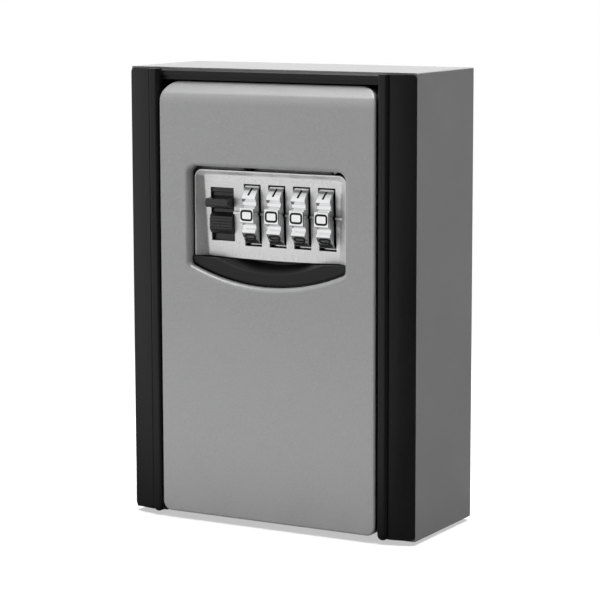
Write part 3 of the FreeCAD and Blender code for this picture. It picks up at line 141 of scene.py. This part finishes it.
class Shader(Graph):
    """A node material with a Principled shader and short calls for textures and relief."""

    def __init__(self, name, metallic=0.0):
        self.material = bpy.data.materials.new(name)
        self.material.use_nodes = True
        super().__init__(self.material.node_tree)
        self.surface = self.add("ShaderNodeBsdfPrincipled")
        self.surface.inputs["Metallic"].default_value = metallic
        self.output = self.add("ShaderNodeOutputMaterial")
        self.link(self.surface.outputs[0], self.output.inputs["Surface"])
        self.place = self.add("ShaderNodeTexCoord").outputs["Object"]
        self.bumps = None

    def noise(self, size, detail=3.0, stretch=(1, 1, 1)):
        """Noise whose grains are about size metres across."""
        mapping = self.add("ShaderNodeMapping")
        mapping.inputs["Scale"].default_value = stretch
        self.link(self.place, mapping.inputs["Vector"])
        made = self.add("ShaderNodeTexNoise")
        self.link(mapping.outputs[0], made.inputs["Vector"])
        made.inputs["Scale"].default_value = 1.0 / size
        made.inputs["Detail"].default_value = detail
        made.inputs["Roughness"].default_value = 0.55
        return made.outputs["Fac"]

    def bump(self, height, depth, strength=1.0):
        """Adds relief: a height field of 0 to 1 that stands depth metres tall."""
        made = self.add("ShaderNodeBump")
        made.inputs["Strength"].default_value = strength
        made.inputs["Distance"].default_value = depth
        self.link(height, made.inputs["Height"])
        if self.bumps:
            self.link(self.bumps, made.inputs["Normal"])
        self.bumps = made.outputs[0]
        self.link(self.bumps, self.surface.inputs["Normal"])

    def edges(self, radius):
        """A mask that is 1 on edges sharper than radius and 0 on flats."""
        bevel = self.add("ShaderNodeBevel", samples=4)
        bevel.inputs["Radius"].default_value = radius
        true = self.add("ShaderNodeNewGeometry").outputs["Normal"]
        dot = self.add("ShaderNodeVectorMath", operation="DOT_PRODUCT")
        self.link(bevel.outputs[0], dot.inputs[0])
        self.link(true, dot.inputs[1])
        return self.remap(dot.outputs["Value"], FLAT_DOT, EDGE_DOT)

    def painted_crevice_shade(self, colour, reach=CREVICE, shade_tone=0.012):
        """Painted shade: darkens a colour towards a dark grey inside gaps and corners narrower than about reach.
        """
        shade = self.add("ShaderNodeAmbientOcclusion", samples=6)
        shade.inputs["Distance"].default_value = reach
        return self.mix(self.remap(shade.outputs["AO"], 0.25, 0.6), grey(shade_tone), colour)

    def settings(self, specular, coat=0.0, coat_roughness=0.03):
        """Sets how much the surface and a clear coat on it reflect."""
        self.surface.inputs["Specular IOR Level"].default_value = specular
        self.surface.inputs["Coat Weight"].default_value = coat
        self.surface.inputs["Coat Roughness"].default_value = coat_roughness

    def finish(self, colour, roughness):
        self.set(self.surface.inputs["Base Color"], colour)
        self.set(self.surface.inputs["Roughness"], roughness)
        return self.material


def grey(value, tint=(1.0, 1.0, 1.0)):
    """A grey, or a slightly tinted one."""
    return tuple(value * part for part in tint)


def paint(name, tone, tint=(1.0, 1.0, 1.01), rough=0.42, fade=(1.0, 1.0), sheen=1.0):
    """Powder coat: orange peel, fine metallic grain, slightly polished edges, painted shade in gaps and corners.
    fade is the strength of the tone at the object's bottom and above its middle, a painted shade by height. sheen
    scales all the reflections."""
    shader = Shader(name, metallic=0.18 * sheen)
    cloud = shader.noise(14 * MM, 4.0)
    grain = shader.noise(0.22 * MM, 2.0)
    dark, pale, flake, bare = (
        grey(min(1.0, tone * share), tint) for share in (0.96, 1.04, 1.13, 1.5)
    )
    colour = shader.mix(shader.remap(cloud, 0.35, 0.65), dark, pale)
    colour = shader.mix(shader.remap(grain, 0.40, 0.62), colour, flake)
    # Painted shade by height: the colour is scaled towards black as fade gives, from the bottom up to the middle.
    split = shader.add("ShaderNodeSeparateXYZ")
    shader.link(shader.place, split.inputs[0])
    strength = shader.remap(split.outputs["Z"], cad_low.z, 0.0, *fade)
    colour = shader.mix(strength, grey(0.0), colour)
    patches = shader.remap(cloud, 0.4, 0.7, 0.2, 0.5)
    worn = shader.maths("MULTIPLY", shader.edges(0.35 * MM), patches)
    # Painted shade in gaps and corners, laid over the worn edges.
    colour = shader.painted_crevice_shade(shader.mix(worn, colour, bare))
    shader.settings(specular=0.5 * sheen, coat=0.12 * sheen, coat_roughness=0.35)
    shader.bump(shader.noise(1.1 * MM, 1.5), 0.012 * MM, 0.55)
    shader.bump(grain, 0.004 * MM, 0.5)
    return shader.finish(colour, shader.vary(cloud, rough - 0.04, rough + 0.05))


def black_plastic(name, tone, rough, grain_size=0.35 * MM, depth=0.012 * MM, coat=0.0):
    """Moulded plastic with spark texture, faint flow marks and paler handled edges."""
    shader = Shader(name)
    grain = shader.noise(grain_size, 2.0)
    flow = shader.noise(9 * MM, 3.0, (1, 1, 0.25))
    dark, pale, worn = grey(tone * 0.85), grey(tone * 1.2, (1, 1, 1.03)), grey(tone * 2.6)
    colour = shader.mix(shader.vary(flow, 0.0, 1.0), dark, pale)
    handled = shader.maths("MULTIPLY", shader.edges(0.25 * MM), 0.5)
    colour = shader.mix(handled, colour, worn)
    shader.bump(shader.vary(grain, 0.0, 1.0), depth, 0.8)
    shader.settings(specular=0.25, coat=coat, coat_roughness=0.12)
    return shader.finish(colour, shader.vary(flow, rough - 0.05, rough + 0.06))


def satin_silver(name):
    """Sprayed satin silver: bright metal with a fine sandy sparkle."""
    shader = Shader(name, metallic=0.75)
    grain = shader.noise(0.16 * MM, 2.0)
    cloud = shader.noise(7 * MM, 3.0)
    spark = shader.remap(grain, 0.36, 0.66)
    shade = shader.vary(cloud, 0.62, 0.80)
    dull = shader.mix(shade, grey(0.0), grey(0.92))
    colour = shader.mix(spark, dull, grey(0.93, (1.0, 1.0, 0.995)))
    rubbed = shader.maths("MULTIPLY", shader.edges(0.3 * MM), 0.5)
    # Painted shade in the panel's gaps and corners, laid over its rubbed edges.
    colour = shader.painted_crevice_shade(shader.mix(rubbed, colour, grey(0.95)))
    shader.bump(spark, 0.010 * MM, 0.7)
    return shader.finish(colour, shader.vary(cloud, 0.40, 0.50))


def chrome(name):
    """Bright plating with hair scratches and faint cloudiness."""
    shader = Shader(name, metallic=1.0)
    cloud = shader.noise(2.2 * MM, 3.0)
    hair = shader.noise(0.5 * MM, 4.0, (1, 14, 14))
    colour = shader.mix(cloud, grey(0.78, (0.985, 0.99, 1.0)), grey(0.9, (0.99, 0.995, 1.0)))
    # Painted shade in the grooves and corners of the dial.
    colour = shader.painted_crevice_shade(colour, 1.1 * MM, 0.05)
    haze = shader.vary(cloud, 0.06, 0.13)
    scratches = shader.remap(hair, 0.55, 0.75, 0.0, 0.08)
    shader.bump(shader.noise(1.4 * MM, 2.0), 0.006 * MM, 0.4)
    return shader.finish(colour, shader.maths("ADD", haze, scratches))


def plated_steel(name, colour_a, colour_b, rough=0.32, brush=(1, 1, 12)):
    """Zinc or bare steel: patchy plating with drawn grain."""
    shader = Shader(name, metallic=1.0)
    cloud = shader.noise(3.5 * MM, 4.0)
    hair = shader.noise(0.35 * MM, 3.0, brush)
    colour = shader.mix(shader.remap(cloud, 0.35, 0.65), colour_a, colour_b)
    # Painted shade in the gaps and corners of the plated parts.
    colour = shader.painted_crevice_shade(colour, 4.0 * MM, 0.01)
    shader.bump(hair, 0.006 * MM, 0.6)
    return shader.finish(colour, shader.vary(hair, rough - 0.07, rough + 0.1))


def turned_brass(name):
    """Brass with fine turning rings about the dials' axis."""
    shader = Shader(name, metallic=1.0)
    rings = shader.noise(0.25 * MM, 2.0, (10, 1, 1))
    cloud = shader.noise(3 * MM, 3.0)
    colour = shader.mix(cloud, (0.62, 0.42, 0.14), (0.86, 0.66, 0.30))
    shader.bump(rings, 0.006 * MM, 0.6)
    return shader.finish(colour, shader.vary(rings, 0.22, 0.38))


def ink(name):
    """Black enamel wiped into the numbers."""
    shader = Shader(name)
    cloud = shader.noise(0.6 * MM, 3.0)
    colour = shader.mix(cloud, grey(0.006), grey(0.02))
    shader.bump(cloud, 0.004 * MM, 0.4)
    shader.settings(specular=0.2)
    return shader.finish(colour, shader.vary(cloud, 0.45, 0.6))


# ---------------------------------------------------------------- finishes on the CAD nodes

FINISHES = {
    "case_paint": paint("case_coat", 0.235, sheen=0.35),
    # The door's coat is a paler tone than the casing's, though both are one grey paint: painted light on the door.
    # Its fade is painted shade above its middle.
    "door_paint": paint("door_coat", 0.40, fade=(1.0, 0.80)),
    "frame_plastic": black_plastic("rail_black", 0.0085, 0.40, 0.3 * MM, 0.02 * MM),
    "pull_plastic": black_plastic("pull_black", 0.014, 0.46, 0.3 * MM),
    "panel_satin": satin_silver("panel_silver"),
    "dial_chrome": chrome("dial_chrome"),
    "button_plastic": black_plastic("slide_black", 0.02, 0.28, 0.3 * MM, 0.004 * MM, 0.35),
    "sleeve_brass": turned_brass("sleeve_brass"),
    "steel_pin": plated_steel("pin_steel", grey(0.45), grey(0.6), 0.25, (12, 1, 1)),
    "spring_steel": plated_steel("spring_steel", grey(0.38, (1, 0.98, 0.94)), grey(0.55), 0.3),
    "zinc_plate": plated_steel(
        "zinc_sheet", grey(0.5, (0.97, 1, 1.04)), grey(0.66, (1.03, 1, 0.93))
    ),
    "screw_steel": plated_steel(
        "zinc_screw", grey(0.5, (0.97, 1, 1.05)), grey(0.68, (1.02, 1, 0.95))
    ),
    "cover_plastic": black_plastic("cover_black", 0.025, 0.5, 0.45 * MM),
}
SLOT_OF = {part["node"]: part["material_slot"] for part in frame["record"]["subparts"]}


HARD_ANGLE = 30.0
WELD_REACH = 0.002 * MM


def round_edges(obj, width, angle):
    """Rounds a mesh's edges sharper than angle degrees and shades its curves smooth."""
    if width:
        bevel = obj.modifiers.new("soft_edges", "BEVEL")
        bevel.width = width
        bevel.segments = 3
        bevel.limit_method = "ANGLE"
        bevel.angle_limit = math.radians(angle)
        bevel.harden_normals = True
    for polygon in obj.data.polygons:
        polygon.use_smooth = True


def soften(obj, width):
    """Rounds a CAD mesh's hard edges, leaving its vertices alone."""
    weld = obj.modifiers.new("weld", "WELD")
    weld.merge_threshold = WELD_REACH
    round_edges(obj, width, HARD_ANGLE)
    obj.data.update()
    normals = obj.modifiers.new("normals", "WEIGHTED_NORMAL")
    normals.keep_sharp = True


# The rounding of the hard edges, mm. Nodes that are not listed keep theirs.
SOFT_EDGES = {
    "casing": 0.1,
    "front_frame": 0.3,
    "door": 0.2,
    "lock_panel": 0.14,
    "finger_pull": 0.3,
    "release_button": 0.25,
    "back_cover": 0.3,
    "latch_bolt": 0.15,
    "slide_plate": 0.1,
    "reset_lever": 0.12,
}
for name, obj in NODES.items():
    obj.data.materials.clear()
    obj.data.materials.append(FINISHES[SLOT_OF[name]])
    soften(obj, SOFT_EDGES.get(name, 0.0) * MM)


# ---------------------------------------------------------------- numbers on the dials

# A number's half width, half height, lean, stroke width and corner radius, mm.
WIDE, TALL, SLANT = 1.6, 1.2, 0.28
STROKE = 0.56
CORNER = 0.75
STROKE_STEP = 0.4 * MM
# How far a number stands above its pad, and how deep it is rooted in it.
DIGIT_RISE, DIGIT_ROOT = 0.02 * MM, -0.06 * MM
# The pads' half height and crown, the grooves between them, the dial's bore, and the rounding of
# its edges that are sharper than an angle in degrees.
PAD_HALF = 2.0 * MM
PAD_CROWN = 0.10 * MM
GROOVE_REACH = 9.3 * MM
GROOVE_FLAT = 0.4 * MM
DIAL_BORE = 4.4 * MM
DIAL_EDGE = 0.24 * MM
DIAL_ANGLE = 25.0

# Each digit is a list of strokes through points of a box from (-1, -1) to (1, 1). A stroke that
# starts and ends at the same point is closed.
STROKES = {
    0: [[(-1, -1), (1, -1), (1, 1), (-1, 1), (-1, -1)]],
    1: [[(0, -1), (0, 1)]],
    2: [[(-0.9, 0.9), (0.9, 1), (0.9, 0.1), (-0.9, -1), (0.9, -1)]],
    3: [[(-0.9, 1), (0.9, 1), (0.0, 0.1)], [(0.0, 0.1), (0.9, 0.0), (0.9, -1), (-0.9, -1)]],
    4: [[(0.5, -1), (0.5, 1), (-0.9, -0.35), (1.0, -0.35)]],
    5: [[(0.9, 1), (-0.8, 1), (-0.8, 0.15), (0.9, 0.15), (0.9, -1), (-0.9, -1)]],
    6: [[(0.8, 1), (-0.9, 0.7), (-0.9, -1), (0.9, -1), (0.9, 0.05), (-0.85, 0.05)]],
    7: [[(-0.9, 1), (0.9, 1), (-0.3, -1)]],
    8: [
        [(-0.8, 0.1), (0.8, 0.1), (0.8, 1), (-0.8, 1), (-0.8, 0.1)],
        [(-0.9, 0.1), (-0.9, -1), (0.9, -1), (0.9, 0.1)],
    ],
    9: [[(-0.8, -1), (0.9, -0.7), (0.9, 1), (-0.9, 1), (-0.9, -0.05), (0.85, -0.05)]],
}


def rounded(points, closed, radius, steps=5):
    """Rounds a stroke's corners and splits its long straights, keeping open ends where they are."""
    made = []
    count = len(points)
    for index, point in enumerate(points):
        if not closed and index in (0, count - 1):
            made.append(point)
            continue
        before, after = points[index - 1], points[(index + 1) % count]
        reach = min(radius, (before - point).length / 2, (after - point).length / 2)
        start = point + (before - point).normalized() * reach
        end = point + (after - point).normalized() * reach
        for step in range(steps + 1):
            k = step / steps
            made.append(start * (1 - k) ** 2 + point * 2 * k * (1 - k) + end * k**2)
    split = []
    pairs = zip(made, made[1:] + made[:1] if closed else made[1:])
    for a, b in pairs:
        parts = max(1, round((b - a).length / STROKE_STEP))
        split += [a.lerp(b, part / parts) for part in range(parts)]
    return split if closed else split + [made[-1]]


def stroke_solid(points, closed, to_world, verts, faces):
    """A raised ribbon along points. to_world turns (x, y, height) into a place on the dial."""
    count = len(points)
    start = len(verts)
    section = ((-1, DIGIT_ROOT), (1, DIGIT_ROOT), (1, DIGIT_RISE), (-1, DIGIT_RISE))
    for index, point in enumerate(points):
        before = points[index - 1] if closed or index else point
        after = points[(index + 1) % count] if closed or index < count - 1 else point
        along = (after - before).normalized()
        across = Vector((-along.y, along.x)) * (STROKE / 2 * MM)
        for side, height in section:
            edge = point + across * side
            verts.append(to_world(edge.x, edge.y, height))
    for index in range(count if closed else count - 1):
        a = start + 4 * index
        b = start + 4 * ((index + 1) % count)
        for corner in range(4):
            turn = (corner + 1) % 4
            faces.append((a + corner, b + corner, b + turn, a + turn))
    if not closed:
        last = start + 4 * (count - 1)
        faces.append((start, start + 1, start + 2, start + 3))
        faces.append((last + 3, last + 2, last + 1, last))


def pad_directions(place):
    """Out from the axis, and up the rim, at a place on the rim counted in pads."""
    angle = FULL_TURN * place / DIGITS
    out = Vector((0, -math.cos(angle), math.sin(angle)))
    up = Vector((0, math.sin(angle), math.cos(angle)))
    return out, up


def dial_axis(dial):
    """A dial's middle on its axis."""
    joint = next(j for j in frame["joints"] if j["name"] == f"dial_{dial}_spin")
    _, y, z = joint["pos_m"]
    low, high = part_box(f"dial_{dial}")
    return Vector(((low.x + high.x) / 2, y, z))


def pad_frame(dial, digit):
    """Turns (x, y, height) on one pad of a dial into a place: x across, y up the pad, height above
    the middle of the pad. The pads are slightly crowned."""
    centre = dial_axis(dial)
    reach = centre.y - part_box(f"dial_{dial}")[0].y
    out, up = pad_directions(digit)

    def to_world(x, y, height):
        crown = PAD_CROWN * (y / PAD_HALF) ** 2
        place = Vector((centre.x + x, centre.y, centre.z))
        return place + up * y + out * (reach - crown + height)

    return to_world


def add_object(name, verts, faces, material):
    """A new object from a list of corners and a list of faces."""
    mesh = bpy.data.meshes.new(name)
    mesh.from_pydata(verts, [], faces)
    mesh.validate()
    mesh.update()
    mesh.materials.append(material)
    obj = bpy.data.objects.new(name, mesh)
    bpy.context.scene.collection.objects.link(obj)
    return obj


def make_dial(dial, material):
    """A dial with ten crowned pads and V grooves between them."""
    low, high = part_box(f"dial_{dial}")
    half = (high.x - low.x) / 2
    centre = dial_axis(dial)
    rim = []
    for digit in range(DIGITS):
        to_world = pad_frame(dial, digit)
        rim += [to_world(0, PAD_HALF * step / 3, 0) for step in range(-3, 4)]
        out, up = pad_directions(digit + 0.5)
        rim += [centre + up * side + out * GROOVE_REACH for side in (-GROOVE_FLAT, GROOVE_FLAT)]
    bore = [centre + (point - centre).normalized() * DIAL_BORE for point in rim]
    count = len(rim)
    verts, faces = [], []
    for side in (-half, half):
        shift = Vector((side, 0, 0))
        verts += [point + shift for point in rim] + [point + shift for point in bore]
    for index in range(count):
        after = (index + 1) % count
        rim_a, rim_b = index, after
        bore_a, bore_b = index + count, after + count
        far = 2 * count
        faces.append((rim_a, rim_b, rim_b + far, rim_a + far))
        faces.append((bore_b, bore_a, bore_a + far, bore_b + far))
        faces.append((rim_b, rim_a, bore_a, bore_b))
        faces.append((rim_a + far, rim_b + far, bore_b + far, bore_a + far))
    obj = add_object(f"dial_wheel_{dial}", verts, faces, material)
    round_edges(obj, DIAL_EDGE, DIAL_ANGLE)
    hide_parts(f"dial_{dial}")
    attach(obj, f"dial_{dial}")


def make_numbers(dial, material):
    """The ten numbers of one dial, each on its own pad, rising from 0 at the front."""
    verts, faces = [], []
    for digit, strokes in STROKES.items():
        to_world = pad_frame(dial, digit)
        for stroke in strokes:
            closed = stroke[0] == stroke[-1]
            corners = stroke[:-1] if closed else stroke
            lean = 0.0 if digit == 0 else SLANT
            points = [Vector(((x * WIDE + y * lean) * MM, y * TALL * MM)) for x, y in corners]
            points = rounded(points, closed, CORNER * MM)
            stroke_solid(points, closed, to_world, verts, faces)
    obj = add_object(f"numbers_{dial}", verts, faces, material)
    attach(obj, f"dial_{dial}")


def make_coil(node, turns, material):
    """A coil spring in place of node."""
    low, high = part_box(node)
    wire = 0.25 * MM
    sides, steps = 10, 24
    end_turns = 0.5
    radius = (high.x - low.x) / 2 - wire
    middle = Vector(((low.x + high.x) / 2, (low.y + high.y) / 2, 0))
    tall = high.z - low.z - 2 * wire
    count = turns * steps + 1
    verts, faces = [], []
    for index in range(count):
        turn = index / steps
        rise = min(max((turn - end_turns) / (turns - 2 * end_turns), 0.0), 1.0)
        angle = FULL_TURN * turn
        out = Vector((math.cos(angle), math.sin(angle), 0))
        centre = middle + out * radius + Vector((0, 0, low.z + wire + tall * rise))
        for side in range(sides):
            around = FULL_TURN * side / sides
            verts.append(centre + (out * math.cos(around) + UP * math.sin(around)) * wire)
    for index in range(count - 1):
        for side in range(sides):
            a, b = index * sides + side, index * sides + (side + 1) % sides
            faces.append((a, b, b + sides, a + sides))
    faces.append(tuple(range(sides))[::-1])
    faces.append(tuple(range((count - 1) * sides, count * sides)))
    obj = add_object(node + "_coil", verts, faces, material)
    for polygon in obj.data.polygons:
        polygon.use_smooth = len(polygon.vertices) == 4
    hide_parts(node)
    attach(obj, "door")
    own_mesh(obj)


number_ink = ink("number_ink")
for dial in range(1, DIALS + 1):
    make_dial(dial, FINISHES["dial_chrome"])
    make_numbers(dial, number_ink)
make_coil("return_spring", 7, FINISHES["spring_steel"])
make_coil("latch_spring", 4, FINISHES["spring_steel"])


# ---------------------------------------------------------------- studio and camera


def floor():
    """A pale sweep just under the object. For the camera it fades to white around a soft shadow.
    Its mirror image is bright on the left and dim near the object and on the right."""
    half = 6.0
    open_door_room = 1.0 * MM
    level = cad_low.z - open_door_room
    corners = [(-half, -half), (half, -half), (half, half), (-half, half)]
    shader = Shader("floor_paper")
    path = shader.add("ShaderNodeLightPath")
    camera_ray, mirror_ray = path.outputs["Is Camera Ray"], path.outputs["Is Glossy Ray"]
    split = shader.add("ShaderNodeSeparateXYZ")
    shader.link(shader.place, split.inputs[0])
    length = shader.add("ShaderNodeVectorMath", operation="LENGTH")
    shader.link(shader.place, length.inputs[0])
    paper = shader.mix(shader.noise(0.3, 3.0), grey(0.86), grey(0.92))
    shader.finish(shader.mix(camera_ray, grey(0.28), paper), 0.9)
    shader.settings(specular=0.0)
    glow = shader.add("ShaderNodeEmission")
    left = shader.remap(split.outputs["X"], 0.04, 0.0)
    front = shader.remap(split.outputs["Y"], -0.05, -0.10)
    mirror_tone = shader.maths("MAXIMUM", shader.maths("MULTIPLY", left, front), 0.06)
    shader.link(shader.mix(camera_ray, mirror_tone, grey(1.0)), glow.inputs["Color"])
    fade = shader.remap(length.outputs["Value"], 0.10, 0.30, 0.5, 1.0)
    share = shader.maths("MAXIMUM", shader.maths("MULTIPLY", camera_ray, fade), mirror_ray)
    seen = shader.mix_shaders(share, shader.surface, glow)
    shader.link(seen.outputs[0], shader.output.inputs["Surface"])
    obj = add_object("floor", [(x, y, level) for x, y in corners], [(0, 1, 2, 3)], shader.material)


def area_light(name, place, target, size, power, mirrored=True):
    """A soft box. A box that is not mirrored lights surfaces but shows in no reflection."""
    light = bpy.data.lights.new(name, "AREA")
    light.shape = "RECTANGLE"
    light.size, light.size_y = size
    light.energy = power
    obj = bpy.data.objects.new(name, light)
    obj.visible_glossy = mirrored
    obj.location = place
    obj.rotation_mode = "QUATERNION"
    obj.rotation_quaternion = (Vector(target) - Vector(place)).to_track_quat("-Z", "Y")
    bpy.context.scene.collection.objects.link(obj)


def studio_world(level):
    """White behind the object for the camera, a soft grey surround for light, and for mirrors a
    bright panel high up on the left."""
    world = bpy.data.worlds.new("studio")
    bpy.context.scene.world = world
    world.use_nodes = True
    graph = Graph(world.node_tree)
    path = graph.add("ShaderNodeLightPath")
    split = graph.add("ShaderNodeSeparateXYZ")
    graph.link(graph.add("ShaderNodeTexCoord").outputs["Generated"], split.inputs[0])
    across, up = split.outputs["X"], split.outputs["Z"]
    ambient = graph.maths("MULTIPLY", graph.remap(up, 0.1, 1.0, 0.7, 1.6), level)
    rise, drop = graph.remap(up, 0.1, 0.5, 0.9, 1.0), graph.remap(up, 0.74, 0.9, 1.0, 0.1)
    panel = graph.maths("MULTIPLY", rise, drop)
    panel = graph.maths("MULTIPLY", panel, graph.remap(across, -0.15, -0.4))
    panel = graph.maths("MULTIPLY", panel, path.outputs["Is Glossy Ray"])
    lit = graph.add("ShaderNodeBackground")
    seen = graph.add("ShaderNodeBackground")
    graph.link(graph.maths("MAXIMUM", ambient, panel), lit.inputs["Color"])
    graph.set(seen.inputs["Color"], grey(1.0))
    both = graph.mix_shaders(path.outputs["Is Camera Ray"], lit, seen)
    output = graph.add("ShaderNodeOutputWorld")
    graph.link(both.outputs[0], output.inputs["Surface"])


def camera(azimuth, elevation, roll, distance, target, lens):
    """A camera distance metres from target, seen from azimuth right of the front and elevation
    above it, turned by roll. The angles are in degrees."""
    a, e, r = (math.radians(value) for value in (azimuth, elevation, roll))
    back = Vector((math.sin(a) * math.cos(e), -math.cos(a) * math.cos(e), math.sin(e)))
    right = Vector((math.cos(a), math.sin(a), 0))
    up = back.cross(right)
    turned_right = right * math.cos(r) + up * math.sin(r)
    turned_up = up * math.cos(r) - right * math.sin(r)
    data = bpy.data.cameras.new("camera")
    data.lens = lens
    data.sensor_width = 36
    data.clip_start = 0.01
    obj = bpy.data.objects.new("camera", data)
    pose = Matrix((turned_right, turned_up, back)).transposed().to_4x4()
    pose.translation = Vector(target) + back * distance
    obj.matrix_world = pose
    bpy.context.scene.collection.objects.link(obj)
    bpy.context.scene.camera = obj


floor()
studio_world(0.14)
area_light("top_box", (0.0, 0.2, 2.4), (0, -0.02, 0), (2.2, 1.8), 168.0)
area_light("front_left_box", (-0.6, -0.68, 0.0), (0, -0.02, -0.03), (0.4, 0.1), 3.0, False)
area_light("right_strip", (0.9, -0.25, 0.1), (0.03, -0.02, -0.02), (0.1, 0.9), 0.85, False)
camera(29.41, 8.38, -0.147, 0.6566, (-9.88 * MM, 0, -5.07 * MM), 142.83)
bpy.context.scene.view_settings.view_transform = "Standard"
